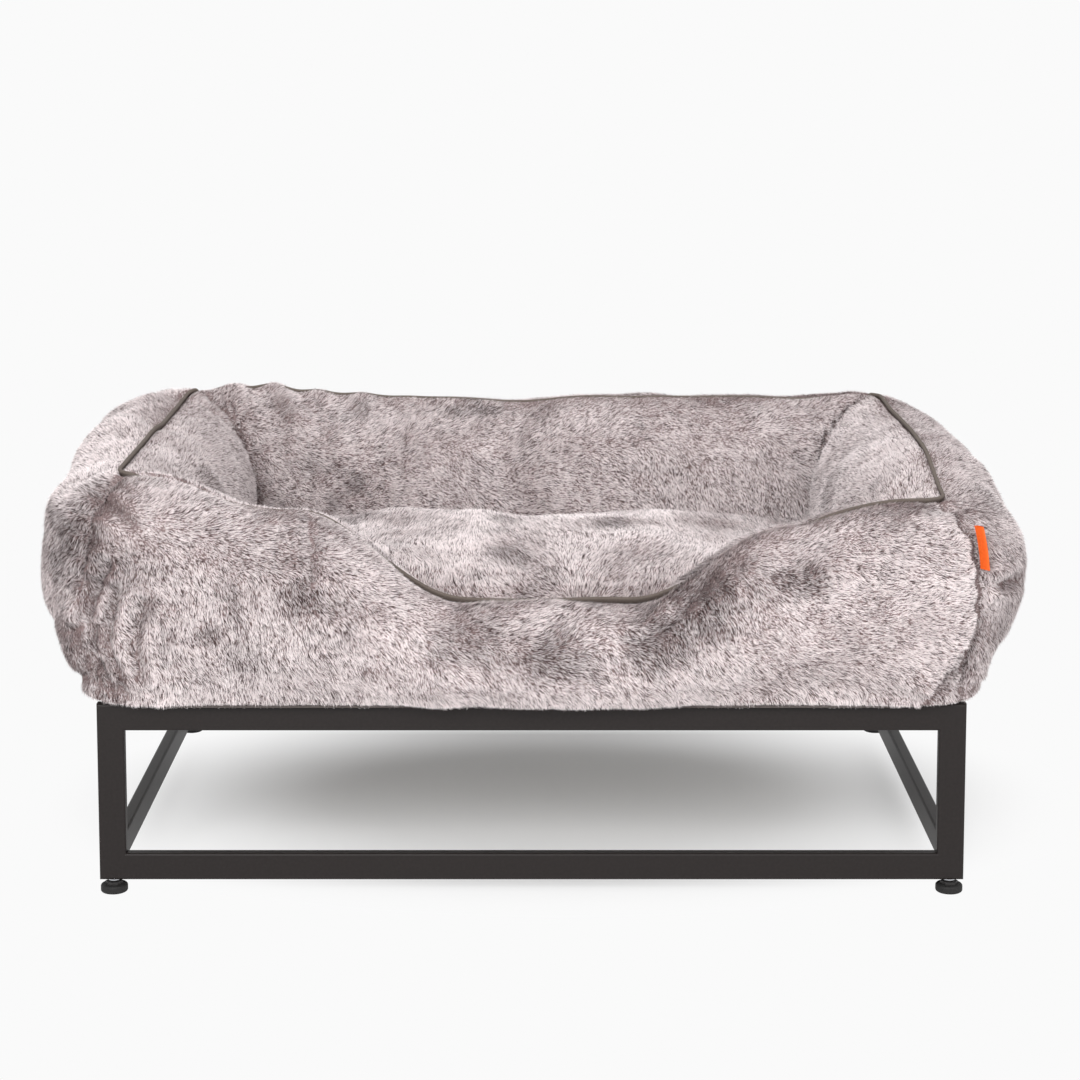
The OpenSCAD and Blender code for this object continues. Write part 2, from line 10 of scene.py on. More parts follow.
import bpy
import numpy as np
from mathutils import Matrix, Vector


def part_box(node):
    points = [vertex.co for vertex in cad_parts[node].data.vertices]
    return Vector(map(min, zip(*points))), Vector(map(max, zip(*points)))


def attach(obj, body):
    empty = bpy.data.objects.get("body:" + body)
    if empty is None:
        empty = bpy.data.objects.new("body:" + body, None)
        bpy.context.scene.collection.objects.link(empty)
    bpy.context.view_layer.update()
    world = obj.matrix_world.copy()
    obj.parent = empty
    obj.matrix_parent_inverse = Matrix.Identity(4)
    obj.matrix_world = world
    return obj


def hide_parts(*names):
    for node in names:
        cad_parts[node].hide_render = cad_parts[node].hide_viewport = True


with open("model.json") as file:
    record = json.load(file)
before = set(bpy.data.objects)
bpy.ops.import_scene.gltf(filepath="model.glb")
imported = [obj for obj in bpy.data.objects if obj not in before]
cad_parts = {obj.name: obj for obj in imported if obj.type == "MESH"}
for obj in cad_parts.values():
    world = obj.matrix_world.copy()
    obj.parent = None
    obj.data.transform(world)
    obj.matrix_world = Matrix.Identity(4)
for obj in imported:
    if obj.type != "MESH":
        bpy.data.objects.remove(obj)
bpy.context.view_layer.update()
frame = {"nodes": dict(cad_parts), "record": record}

# Sizes of the bed, as in the part's source, but with a fuller cushion
BED_Z = 0.217
RIDGE_HALF = (0.459, 0.300)
RIDGE_H = 0.256
CORNER_DROP = 0.028
CORNER_RISE = 0.160
LEFT_SHOULDER_H = 0.216
RIGHT_SHOULDER_H = 0.198
ENTRY_H = 0.108
ENTRY_W = 0.560
ENTRY_FLOOR_W = 0.190
ENTRY_SHIFT = 0.015
BASE_OUT = 0.044
BELLY_OUT = 0.108
BELLY_IN = 0.096
BASE_IN = 0.080
RIDGE_R = 0.035
INNER_R = 0.008
CORNER_GROWTH = 1.65
INNER_GROWTH = 0.25
SEAM_TURN = 40
CUSHION_HALF = (0.362, 0.203)
CUSHION_CROWN_H = 0.128
CUSHION_EDGE_H = 0.098
CUSHION_PULL = 0.003
CUSHION_INSET = 0.003
CLOTH = 0.002
CUSHION_ROUNDNESS = 8

# Fur and sewing
PILE = 0.007
SWELL = 0.005
STRAND = 0.0077
STRAND_W = 0.00115
STRANDS_PER_M2 = 760_000
PIECE_STRANDS = 195_000
SEAM_DEPTH = 0.011
PIPING_R = 0.0023
PIPING_FLANGE = 0.0065
PIPING_LOW = 0.0055
PIPING_SUNK = 0.006
FUR_LEAN = 1.12
CUSHION_FUR_LEAN = 1.10
FLECKS = 0.20
CLUMPING = 0.24
FUR_TONE = 0.97
SIDES = ("front", "right", "rear", "left")

# Filling: pressure and greatest move of the cloth
BOLSTER_PRESSURE = 3.0
CUSHION_PRESSURE = 4.0
CLOTH_REACH = 0.010

# Unevenness of the bolster
RIDGE_LUMPS = 0.006
RIDGE_RIPPLES = 0.0015
ROLL = 0.014
ROLL_X = -0.36
BAG = 0.016
PANEL_LUMPS = 0.0045
PANEL_RIPPLES = 0.0022
SEAM_GROOVE = 0.008
SEAM_SWELL = 0.003
SEAM_PUCKER = 0.0025
LEFT_FLAT = 0.010
LEFT_FULL = 0.030

# The eye of the reference view, for placing folds and dark patches where that view has them
EYE = np.array([-0.0045, -2.99, 0.976])
FRONT_PLANE = -0.33
NOISE_CELLS = 32


def smooth(low, high, x):
    t = np.clip((x - low) / (high - low), 0, 1)
    return t * t * (3 - 2 * t)


def unit(v):
    return v / np.maximum(np.linalg.norm(v, axis=-1, keepdims=True), 1e-12)


def noise(points, size, seed):
    """Smooth noise from about -1 to 1 at an array of points, with lumps of the given size."""
    table = np.random.default_rng(seed).uniform(-1, 1, (NOISE_CELLS, NOISE_CELLS, NOISE_CELLS))
    q = points / size + seed * 3.7
    cell = np.floor(q).astype(int)
    f = q - cell
    f = f * f * (3 - 2 * f)
    total = 0
    for dx in (0, 1):
        for dy in (0, 1):
            for dz in (0, 1):
                x, y, z = ((cell[..., k] + step) % NOISE_CELLS for k, step in enumerate((dx, dy, dz)))
                value = table[x, y, z]
                wx = f[..., 0] if dx else 1 - f[..., 0]
                wy = f[..., 1] if dy else 1 - f[..., 1]
                wz = f[..., 2] if dz else 1 - f[..., 2]
                total = total + value * wx * wy * wz
    return total * 1.5


def linear(r, g, b):
    """Linear colour of an 8-bit one."""
    c = np.array([r, g, b]) / 255
    return np.where(c <= 0.04045, c / 12.92, ((c + 0.055) / 1.055) ** 2.4)


# Materials
def material(name, colour, roughness, specular=0.5, metallic=0.0):
    m = bpy.data.materials.new(name)
    m.use_nodes = True
    shader = m.node_tree.nodes["Principled BSDF"]
    shader.inputs["Base Color"].default_value = (*colour, 1)
    shader.inputs["Roughness"].default_value = roughness
    shader.inputs["Specular IOR Level"].default_value = specular
    shader.inputs["Metallic"].default_value = metallic
    return m


def bumped(m, scale, strength, distance):
    """Adds a fine noise bump to a material."""
    nodes, links = m.node_tree.nodes, m.node_tree.links
    place = nodes.new("ShaderNodeTexCoord")
    grain = nodes.new("ShaderNodeTexNoise")
    grain.inputs["Scale"].default_value = scale
    grain.inputs["Detail"].default_value = 2
    bump = nodes.new("ShaderNodeBump")
    bump.inputs["Strength"].default_value = strength
    bump.inputs["Distance"].default_value = distance
    links.new(place.outputs["Object"], grain.inputs["Vector"])
    links.new(grain.outputs["Fac"], bump.inputs["Height"])
    links.new(bump.outputs["Normal"], nodes["Principled BSDF"].inputs["Normal"])
    return m


def mottled(m, first, second, scale, stretch=(1, 1, 1)):
    """Mixes a material's colour from two, in cloudy spots or, where stretched, along a grain."""
    nodes, links = m.node_tree.nodes, m.node_tree.links
    place = nodes.new("ShaderNodeTexCoord")
    sized = nodes.new("ShaderNodeMapping")
    sized.inputs["Scale"].default_value = stretch
    spots = nodes.new("ShaderNodeTexNoise")
    spots.inputs["Scale"].default_value = scale
    spots.inputs["Detail"].default_value = 4
    ramp = nodes.new("ShaderNodeValToRGB")
    ramp.color_ramp.elements[0].position = 0.35
    ramp.color_ramp.elements[0].color = (*first, 1)
    ramp.color_ramp.elements[1].position = 0.65
    ramp.color_ramp.elements[1].color = (*second, 1)
    links.new(place.outputs["Object"], sized.inputs["Vector"])
    links.new(sized.outputs["Vector"], spots.inputs["Vector"])
    links.new(spots.outputs["Fac"], ramp.inputs["Fac"])
    links.new(ramp.outputs["Color"], nodes["Principled BSDF"].inputs["Base Color"])
    return m


def tinted(m, attribute):
    """Takes a material's colour from a colour attribute of its mesh."""
    nodes, links = m.node_tree.nodes, m.node_tree.links
    tint = nodes.new("ShaderNodeAttribute")
    tint.attribute_name = attribute
    links.new(tint.outputs["Color"], nodes["Principled BSDF"].inputs["Base Color"])
    return m


coat = bumped(material("powder_coat", linear(30, 25, 24), 0.48, 0.26), 900, 0.12, 0.0004)
mottled(coat, linear(28, 23, 22), linear(32, 27, 26), 300)
zinc = bumped(material("zinc", (0.55, 0.56, 0.58), 0.35, metallic=1.0), 1200, 0.15, 0.0002)
mottled(zinc, (0.48, 0.49, 0.51), (0.60, 0.61, 0.63), 500)
plywood = bumped(material("plywood", linear(150, 147, 143), 0.7, 0.3), 60, 0.1, 0.0005)
mottled(plywood, linear(138, 134, 129), linear(160, 157, 153), 12, (0.6, 8, 8))
rubber = bumped(material("pad_rubber", linear(30, 29, 29), 0.7, 0.35), 1500, 0.3, 0.0003)
mottled(rubber, linear(27, 26, 26), linear(33, 32, 32), 400)
black_steel = bumped(material("stud_steel", linear(38, 36, 36), 0.45, 0.5), 1800, 0.2, 0.0002)
mottled(black_steel, linear(34, 32, 32), linear(43, 41, 41), 700)
lining = bumped(material("lining", linear(76, 70, 68), 0.9, 0.2), 700, 0.3, 0.0005)
mottled(lining, linear(70, 64, 62), linear(82, 76, 74), 600)
backing = bumped(material("fur_backing", linear(128, 111, 110), 0.95, 0.05), 800, 0.4, 0.001)
mottled(backing, linear(112, 95, 94), linear(142, 125, 124), 350)
fur_material = tinted(material("fur", (0.6, 0.55, 0.55), 0.75, 0.15), "tint")
piping_material = bumped(material("piping_tape", linear(98, 89, 83), 0.85, 0.2), 900, 0.5, 0.0006)
mottled(piping_material, linear(90, 81, 75), linear(107, 98, 92), 900)
tag_material = bumped(material("tag_cloth", linear(226, 92, 28), 0.7, 0.25), 1500, 0.3, 0.0003)
mottled(tag_material, linear(214, 82, 22), linear(236, 102, 36), 1200)

SLOT_LOOKS = {
    "powder_coat": coat,
    "zinc": zinc,
    "plywood": plywood,
    "pad_rubber": rubber,
    "stud_steel": black_steel,
    "lining": lining,
    "piping_tape": piping_material,
    "tag_cloth": tag_material,
}
for sub in frame["record"]["subparts"]:
    look = SLOT_LOOKS.get(sub["material_slot"])
    if look:
        mesh = frame["nodes"][sub["node"]].data
        mesh.materials.clear()
        mesh.materials.append(look)


# Meshes
def new_object(name, points, faces, look):
    mesh = bpy.data.meshes.new(name)
    mesh.from_pydata(np.asarray(points).tolist(), [], faces)
    mesh.update()
    mesh.polygons.foreach_set("use_smooth", np.ones(len(mesh.polygons), bool))
    mesh.materials.append(look)
    made = bpy.data.objects.new(name, mesh)
    bpy.context.scene.collection.objects.link(made)
    return made


def swollen(points, faces, held, pressure, cap, frames=20):
    """The points of a closed skin after cloth under pressure, some held and all moves capped."""
    skin = new_object("cloth", points, faces, backing)
    group = skin.vertex_groups.new(name="held")
    group.add([int(k) for k in held], 1.0, "REPLACE")
    cloth = skin.modifiers.new("cloth", "CLOTH")
    settings = cloth.settings
    settings.quality = 6
    settings.mass = 0.25
    settings.tension_stiffness = 12
    settings.compression_stiffness = 12
    settings.shear_stiffness = 4
    settings.bending_stiffness = 0.3
    settings.shrink_min = -0.02
    settings.use_pressure = True
    settings.uniform_pressure_force = pressure
    settings.vertex_group_mass = "held"
    settings.effector_weights.gravity = 0
    cloth.collision_settings.use_collision = False
    scene = bpy.context.scene
    for number in range(1, frames + 1):
        scene.frame_set(number)
    graph = bpy.context.evaluated_depsgraph_get()
    result = skin.evaluated_get(graph).to_mesh()
    moved = np.empty(len(points) * 3)
    result.vertices.foreach_get("co", moved)
    scene.frame_set(1)
    bpy.data.objects.remove(skin)
    move = moved.reshape(-1, 3) - points
    far = np.linalg.norm(move, axis=1, keepdims=True)
    return points + move * np.minimum(1, cap / np.maximum(far, 1e-9))


# Bolster: a ring of sections. A section is points [outwards from the ridge, height].
def bezier(handles, t):
    """Points on a curve with four handles, at an array of shares."""
    t = t[:, None]
    u = 1 - t
    p = np.array(handles)
    return u**3 * p[0] + 3 * t * u**2 * p[1] + 3 * t * t * u * p[2] + t**3 * p[3]


def resampled(points, n):
    """n points at even distances along a line of points."""
    run = np.concatenate([[0], np.cumsum(np.linalg.norm(np.diff(points, axis=0), axis=1))])
    at = np.linspace(0, run[-1], n)
    return np.stack([np.interp(at, run, points[:, k]) for k in range(points.shape[1])], 1)


OUTER_N, INNER_N, BASE_N = 32, 30, 7
low_z, high_z = 0.24 * RIDGE_H, 1.03 * RIDGE_H
outer_curve = [
    (BASE_OUT, 0),
    (BELLY_OUT, low_z),
    ((BELLY_OUT - BASE_OUT / 8) * 8 / 3 - BELLY_OUT, high_z),
    (0, RIDGE_H),
]
inner_handle = (BELLY_IN - BASE_IN / 8) * 4 / 3
inner_curve = [(0, RIDGE_H), (-inner_handle, RIDGE_H), (-inner_handle, low_z), (-BASE_IN, 0)]
lip = np.array([[0.013, -0.001], [0.007, -0.004], [0.003, -0.008], [0, -SEAM_DEPTH]])
lip = lip + [0, RIDGE_H]
outer_side_points = bezier(outer_curve, np.linspace(0, 0.95, 80))
inner_side_points = bezier(inner_curve, np.linspace(0.05, 1, 80))
outer_line = resampled(np.concatenate([outer_side_points, lip]), OUTER_N)
inner_line = resampled(np.concatenate([lip[::-1] * [-1, 1], inner_side_points]), INNER_N)
base_line = np.linspace(inner_line[-1], outer_line[0], BASE_N + 2)[1:-1]


def inset(line, closed_ends):
    """Moves a section line inwards by the pile and the swelling to come, less towards its ends."""
    way = unit(np.gradient(line, axis=0))
    run = np.concatenate([[0], np.cumsum(np.linalg.norm(np.diff(line, axis=0), axis=1))])
    near = np.minimum(run + closed_ends[0], run[-1] - run + closed_ends[1])
    depth = (PILE + SWELL) * smooth(0, 0.03, near)
    return line - depth[:, None] * np.stack([way[:, 1], -way[:, 0]], 1)


outer_line = inset(outer_line, (0.01, 0))
inner_line = inset(inner_line, (0, 0.01))
section = np.concatenate([outer_line, inner_line[1:], base_line])
SEAM = OUTER_N - 1
INNER_END = SEAM + INNER_N - 1
SECTION_N = len(section)


def side_rings(side):
    """Rings of a side up to its next seam: rows of side, turn round the corner and place along."""
    even = side % 2 == 0
    turn = math.radians(SEAM_TURN if even else 90 - SEAM_TURN)
    corner, straight = (13, 66) if even else (16, 38)
    rows = [(side, -turn * (1 - i / corner), -1) for i in range(corner)]
    rows += [(side, 0, 2 * i / straight - 1) for i in range(straight + 1)]
    return rows + [(side, turn * i / corner, 1) for i in range(1, corner)]


rings = np.array([row for side in range(4) for row in side_rings(side)])
RING_N = len(rings)
first_ring = [int(np.argmax(rings[:, 0] == side)) for side in range(4)] + [RING_N]


def ridge_height(side, along):
    """Height of the ridge above the base, with the low entry in the front."""
    right = along > ENTRY_SHIFT
    top = RIDGE_H - np.where(right, CORNER_DROP, 0)
    shoulder = np.where(right, RIGHT_SHOULDER_H, LEFT_SHOULDER_H)
    front = top - (top - shoulder) * smooth(RIDGE_R - RIDGE_HALF[0], -ENTRY_W / 2, -np.abs(along))
    front = front - (shoulder - ENTRY_H) * (
        1 - smooth(ENTRY_FLOOR_W / 2, ENTRY_W / 2, np.abs(along - ENTRY_SHIFT))
    )
    start = RIDGE_R - RIDGE_HALF[1]
    right_side = RIDGE_H - CORNER_DROP * (1 - smooth(start, start + CORNER_RISE, along))
    return np.where(side == 0, front, np.where(side == 1, right_side, RIDGE_H))


def bolster_points(out, height):
    """Places of the section's points on every ring."""
    side, turn, place = (rings[:, k][:, None] for k in range(3))
    even = side % 2 == 0
    length = np.where(even, RIDGE_HALF[0], RIDGE_HALF[1])
    distance = np.where(even, RIDGE_HALF[1], RIDGE_HALF[0])

    def plan(o):
        inner_r = np.maximum(INNER_R, RIDGE_R + INNER_GROWTH * o)
        r = np.where(o > 0, RIDGE_R + CORNER_GROWTH * o, inner_r)
        return place * (length + o - r) + r * np.sin(turn), distance + o - r + r * np.cos(turn)

    along, away = plan(out[None, :])
    x = np.select([side == 0, side == 1, side == 2], [along, away, -along], -away)
    y = np.select([side == 0, side == 1, side == 2], [-away, along, away], -along)
    tall = ridge_height(side, plan(np.zeros((1, 1)))[0])
    z = BED_Z + height[None, :] * tall / RIDGE_H
    return np.stack([x, y, z], 2)


def torus_faces(n, m):
    """Faces of a grid of n by m points that is closed both ways."""
    i, j = np.meshgrid(np.arange(n), np.arange(m), indexing="ij")
    a = i * m + j
    b = (i + 1) % n * m + j
    c = (i + 1) % n * m + (j + 1) % m
    d = i * m + (j + 1) % m
    return np.stack([a, b, c, d], 2).reshape(-1, 4).tolist()


def grid_normals(grid, wrap):
    """Outward normals of a grid of points, closed along the axes in wrap."""

    def slope(axis):
        if axis in wrap:
            return np.roll(grid, -1, axis) - np.roll(grid, 1, axis)
        return np.gradient(grid, axis=axis)

    return unit(np.cross(slope(0), slope(1)))


bolster = bolster_points(section[:, 0], section[:, 1])
held_points = [
    i * SECTION_N + j
    for i in range(RING_N)
    for j in range(SECTION_N)
    if j in (0, SEAM) or j >= INNER_END or i in first_ring
]
moves = swollen(
    bolster.reshape(-1, 3),
    torus_faces(RING_N, SECTION_N),
    held_points,
    BOLSTER_PRESSURE,
    CLOTH_REACH,
)
moves = moves.reshape(RING_N, SECTION_N, 3) - bolster
for _ in range(4):
    moves = (np.roll(moves, 1, 0) + 2 * moves + np.roll(moves, -1, 0)) / 4
bolster = bolster + moves


def refined(grid):
    """A grid of points, closed both ways, with twice as many along each axis."""
    for axis in (0, 1):
        near = grid + np.roll(grid, -1, axis)
        between = 9 * near - np.roll(grid, 1, axis) - np.roll(grid, -2, axis)
        shape = list(grid.shape)
        shape[axis] *= 2
        grid = np.stack([grid, between / 16], axis + 1).reshape(shape)
    return grid


bolster = refined(bolster)
ring_side = np.repeat(rings[:, 0], 2)
first_ring = [2 * k for k in first_ring]
RING_N, SECTION_N = 2 * RING_N, 2 * SECTION_N
SEAM, INNER_END = 2 * SEAM, 2 * INNER_END
ridge = bolster[:, SEAM]
ridge_lumps = RIDGE_LUMPS * noise(ridge, 0.09, 6) + RIDGE_RIPPLES * noise(ridge, 0.04, 7)
ridge_lumps *= np.where(ring_side == 2, 1, 0.35)
roll = ROLL * np.exp(-(((ridge[:, 0] - ROLL_X) / 0.13) ** 2)) * smooth(0.26, 0.30, ridge[:, 1])
ridge_lumps += roll * (1 + 0.3 * np.sin(ridge[:, 0] / 0.06 * 2 * np.pi))
height_share = (bolster[..., 2] - BED_Z) / (ridge[:, None, 2] - BED_Z)
bolster[..., 2] += ridge_lumps[:, None] * smooth(0.6, 1, height_share)


# Folds and lumps, along the normals
def front_view(points):
    """Where points appear on the stand's front plane, seen from the reference eye."""
    share = (FRONT_PLANE - EYE[1]) / (points[..., 1] - EYE[1])
    return np.stack([EYE[k] + (points[..., k] - EYE[k]) * share for k in (0, 2)], -1)


def run_across(grid):
    """Distances along the second axis of a grid of points, from its start."""
    return np.cumsum(np.linalg.norm(np.diff(grid, axis=1, prepend=grid[:, :1]), axis=2), axis=1)


def line_distance(at, line):
    """Distance of 2-D points from a line of points, below 0 to the left of the way it runs."""
    best = np.full(at.shape[:-1], 9.0)
    for a, b in zip(np.array(line[:-1]), np.array(line[1:])):
        t = np.clip(((at - a) @ (b - a)) / ((b - a) @ (b - a)), 0, 1)
        far = np.linalg.norm(at - a - t[..., None] * (b - a), axis=-1)
        left = (b - a)[0] * (at - a)[..., 1] > (b - a)[1] * (at - a)[..., 0]
        best = np.where(far < np.abs(best), np.where(left, -far, far), best)
    return best


# Lines on the front plane, with depth and width
FOLDS = [
    ([(-0.472, 0.449), (-0.441, 0.421)], 0.006, 0.007),
    ([(-0.470, 0.372), (-0.487, 0.318), (-0.481, 0.272), (-0.458, 0.222)], 0.016, 0.007),
    ([(-0.458, 0.345), (-0.468, 0.292), (-0.446, 0.226)], 0.013, 0.006),
    ([(-0.430, 0.330), (-0.440, 0.285), (-0.436, 0.250)], 0.008, 0.007),
    ([(-0.503, 0.300), (-0.490, 0.250)], 0.012, 0.007),
    ([(-0.247, 0.424), (-0.242, 0.354)], 0.004, 0.005),
    ([(0.552, 0.362), (0.512, 0.352)], 0.008, 0.007),
    ([(0.476, 0.250), (0.446, 0.238)], 0.007, 0.007),
]
# Lines where the cloth to the left lies under the rest, with depth
FLAPS = [([(0.480, 0.302), (0.452, 0.262), (0.428, 0.213)], 0.020)]

arc = np.linalg.norm(np.diff(bolster, axis=0, append=bolster[:1]), axis=2)
run = np.cumsum(arc, axis=0)
loop = run[-1]
seam_distance = np.min(
    [np.abs((run - run[k - 1] + loop / 2) % loop - loop / 2) for k in first_ring[:4]], axis=0
)
# The corners bag out at the base
bag = BAG * np.exp(-((seam_distance / 0.065) ** 2)) * smooth(0.32, 0.225, bolster[..., 2])
outwards = unit(grid_normals(bolster, (0, 1))[:, 8:9] * [1, 1, 0])
bolster = bolster + outwards * (bag * (np.arange(SECTION_N) < SEAM))[..., None]
normals = grid_normals(bolster, (0, 1))
down_run = run_across(bolster)
index = np.arange(SECTION_N)[None, :]
to_ends = np.minimum(index + 1, np.abs(INNER_END - index))
free = smooth(0, 8, np.minimum(np.abs(index - SEAM), to_ends))
free = np.where(index >= INNER_END, 0, free)
outer_side = np.where(index < SEAM, 1.0, 0.35)

shift = PANEL_LUMPS * noise(bolster, 0.16, 3) + PANEL_RIPPLES * noise(bolster, 0.06, 4)
# crease marks the seams, folds and flap recesses: the fur there is shorter, and painted darker as shade
crease = np.exp(-((seam_distance / 0.006) ** 2))
shift -= outer_side * SEAM_GROOVE * np.exp(-((seam_distance / 0.007) ** 2))
shift += outer_side * SEAM_SWELL * np.exp(-(((seam_distance - 0.03) / 0.02) ** 2))
ripple = np.sin(down_run / 0.030 * 2 * np.pi + 2.5 * noise(bolster, 0.07, 5))
shift += outer_side * SEAM_PUCKER * ripple * np.exp(-((seam_distance / 0.045) ** 2))
seen = front_view(bolster)
facing = smooth(-0.22, -0.30, bolster[..., 1]) * (index < SEAM)
for line, depth, width in FOLDS:
    away = np.abs(line_distance(seen, line))
    groove = facing * np.exp(-((away / width) ** 2))
    banks = facing * 0.4 * np.exp(-(((away - 2.2 * width) / width) ** 2))
    shift += depth * (banks - groove)
    # The fur in the fold's groove is painted darker, as shade
    crease = np.maximum(crease, groove * min(1, depth / 0.012))
for line, depth in FLAPS:
    away = line_distance(seen, line)
    step = np.where(away < 0, -np.exp(away / 0.03), 0.35 * np.exp(-away / 0.015))
    shift += facing * depth * step
    # The fur in the recess under the flap is painted darker, as shade
    crease = np.maximum(crease, facing * np.where(away < 0, np.exp(away / 0.022), 0))
# The left panel is flatter at its middle and fuller below the ridge
left_panel = smooth(-0.36, -0.50, bolster[..., 0]) * (index < SEAM)
shift -= LEFT_FLAT * smooth(0.30, 0.40, bolster[..., 2]) * left_panel
fuller = smooth(0.385, 0.44, bolster[..., 2]) * smooth(-0.32, 0.10, bolster[..., 1])
fuller = LEFT_FULL * fuller * smooth(0.38, 0.24, bolster[..., 1])
shift += fuller * (ring_side == 3)[:, None] * (index < SEAM)
bolster = bolster + normals * (shift * free)[..., None]
normals = grid_normals(bolster, (0, 1))


# Fur: blades of one triangle, coloured from root to tip, in a palette that is also their UV map
PALETTE = 24
FUR_DARK = linear(62, 45, 44)
FUR_ROOT = linear(206, 188, 188)
FUR_TIP = linear(253, 245, 245)


def cell_areas(grid):
    """Areas of the cells of a grid of points."""
    a, b, c, d = grid[:-1, :-1], grid[1:, :-1], grid[1:, 1:], grid[:-1, 1:]
    first = np.linalg.norm(np.cross(b - a, d - a), axis=2)
    second = np.linalg.norm(np.cross(b - c, d - c), axis=2)
    return (first + second) / 2


def coats(name, seed, grid, *fields):
    """Coats of blades on a grid of points, cut along its first axis into pieces of a limited size."""
    share = np.cumsum(cell_areas(grid).sum(1)) * STRANDS_PER_M2
    parts = math.ceil(share[-1] / PIECE_STRANDS)
    middle_cuts = [int(np.searchsorted(share, share[-1] * k / parts)) + 1 for k in range(1, parts)]
    cuts = [0] + middle_cuts + [len(grid) - 1]
    made = []
    for part in range(parts):
        rows = slice(cuts[part], cuts[part + 1] + 1)
        called = f"{name}_{part + 1}" if parts > 1 else name
        part_fields = [field[rows] for field in fields]
        made.append(strands(called, seed + 10 * part, grid[rows], *part_fields))
    return made


def strands(name, seed, grid, normal, comb, lean, length, tone, parting_and_crease_shade):
    """One coat of blades on a grid of points. The other arrays hold a value for each of its points."""
    rng = np.random.default_rng(seed)
    area = cell_areas(grid)
    shape = area.shape
    area = area.ravel()
    count = int(area.sum() * STRANDS_PER_M2 / (1))
    cells = rng.choice(area.size, count, p=area / area.sum())
    i, j = np.unravel_index(cells, shape)
    s, t = rng.random(count), rng.random(count)

    def at(field):
        def corner(di, dj, weight):
            return field[i + di, j + dj] * (weight[:, None] if field.ndim == 3 else weight)

        return (
            corner(0, 0, (1 - s) * (1 - t))
            + corner(1, 0, s * (1 - t))
            + corner(1, 1, s * t)
            + corner(0, 1, (1 - s) * t)
        )

    up = unit(at(normal))
    along = unit(at(comb))
    tilt = at(lean) + rng.normal(0, 0.13, count)
    long = at(length) * rng.uniform(0.75, 1.15, count)
    root = at(grid) - up * 0.001
    swirl = rng.normal(0, 0.20, count)
    side = np.cross(up, along)
    along = along * np.cos(swirl)[:, None] + side * np.sin(swirl)[:, None]
    way = up * np.cos(tilt)[:, None] + along * np.sin(tilt)[:, None]
    clump = np.stack([noise(root, 0.013, 40 + k) for k in range(3)], 1)
    clump -= up * np.sum(clump * up, axis=1, keepdims=True)
    long = long[:, None]
    tip = root + way * long + clump * long * CLUMPING
    across = unit(np.cross(way, up)) + up * rng.normal(0, 0.30, count)[:, None]
    across = unit(across) * (STRAND_W / 2) * rng.uniform(0.75, 1.25, count)[:, None]
    points = np.stack([root - across, root + across, tip], 1)

    # Most blades are pale, and the dark flecks between them grow many where the pile is parted, and in
    # creases, where they are painted shade
    shade = at(parting_and_crease_shade)
    tufts = 0.12 * noise(root, 0.006, 46) + 0.05 * noise(root, 0.03, 45)
    fleck = rng.random(count) < FLECKS + tufts + 0.36 * shade
    pale = at(tone) + rng.normal(0, 0.07, count)
    pale = np.where(fleck, rng.uniform(0, 0.28, count) * (1 - 0.5 * shade), pale)
    deep = np.where(fleck, 0.10, 0.90 - 0.6 * shade) + rng.normal(0, 0.1, count)
    pale = np.round(np.clip(pale, 0, 1) * (PALETTE - 1)).astype(int)
    deep = np.round(np.clip(deep, 0, 1) * (PALETTE - 1)).astype(int)
    steps = np.linspace(0, 1, PALETTE)[:, None]
    tips = FUR_DARK + (FUR_TIP - FUR_DARK) * steps**2
    roots = FUR_DARK + (FUR_ROOT - FUR_DARK) * steps**2
    colours = np.ones((count, 3, 4))
    colours[:, :, :3] = np.stack([roots[deep], roots[deep], tips[pale]], 1)

    # Each pair of tip and root colours has its own cell of the map
    corners = np.array([[0.1, 0.1], [0.9, 0.1], [0.5, 0.9]])
    maps = (np.stack([pale, deep], 1)[:, None, :] + corners[None]) / PALETTE

    mesh = bpy.data.meshes.new(name)
    mesh.vertices.add(count * 3)
    mesh.vertices.foreach_set("co", points.ravel())
    mesh.loops.add(count * 3)
    mesh.loops.foreach_set("vertex_index", np.arange(count * 3))
    mesh.polygons.add(count)
    mesh.polygons.foreach_set("loop_start", np.arange(count) * 3)
    mesh.update(calc_edges=True)
    tint = mesh.attributes.new("tint", "FLOAT_COLOR", "POINT")
    tint.data.foreach_set("color", colours.ravel())
    uv = mesh.uv_layers.new(name="OFBake")
    uv.uv.foreach_set("vector", maps.ravel())
    mesh.materials.append(fur_material)
    made = bpy.data.objects.new(name, mesh)
    bpy.context.scene.collection.objects.link(made)
    return made


# Dark patches, where the pile is parted: middle and half width on the front plane
PATCHES = [
    ((-0.500, 0.400), (0.034, 0.060), 0.60),
    ((-0.330, 0.330), (0.150, 0.110), 0.20),
    ((-0.255, 0.338), (0.030, 0.026), 0.7),
    ((-0.356, 0.292), (0.016, 0.012), 0.8),
    ((-0.070, 0.285), (0.050, 0.030), 0.45),
    ((0.030, 0.272), (0.060, 0.032), 0.7),
    ((0.130, 0.285), (0.050, 0.038), 0.8),
    ((0.195, 0.330), (0.045, 0.040), 0.9),
    ((0.275, 0.355), (0.055, 0.024), 0.7),
]


def patch_shade(grid):
    """How far the pile is parted: the patches of the front, and scattered smaller ones elsewhere."""
    at = front_view(grid)
    shade = np.zeros(grid.shape[:2])
    ragged = 0.6 * noise(grid, 0.03, 21) + 0.4 * noise(grid, 0.012, 22)
    for middle, half, strength in PATCHES:
        reach = np.linalg.norm((at - middle) / half, axis=-1)
        shade = np.maximum(shade, strength * smooth(1.35, 0.35, reach + 0.45 * ragged))
    shade *= smooth(-0.2, -0.3, grid[..., 1])
    scattered = 0.6 * noise(grid, 0.075, 23) + 0.4 * noise(grid, 0.03, 24)
    return np.maximum(shade, 0.45 * smooth(0.45, 0.95, scattered))


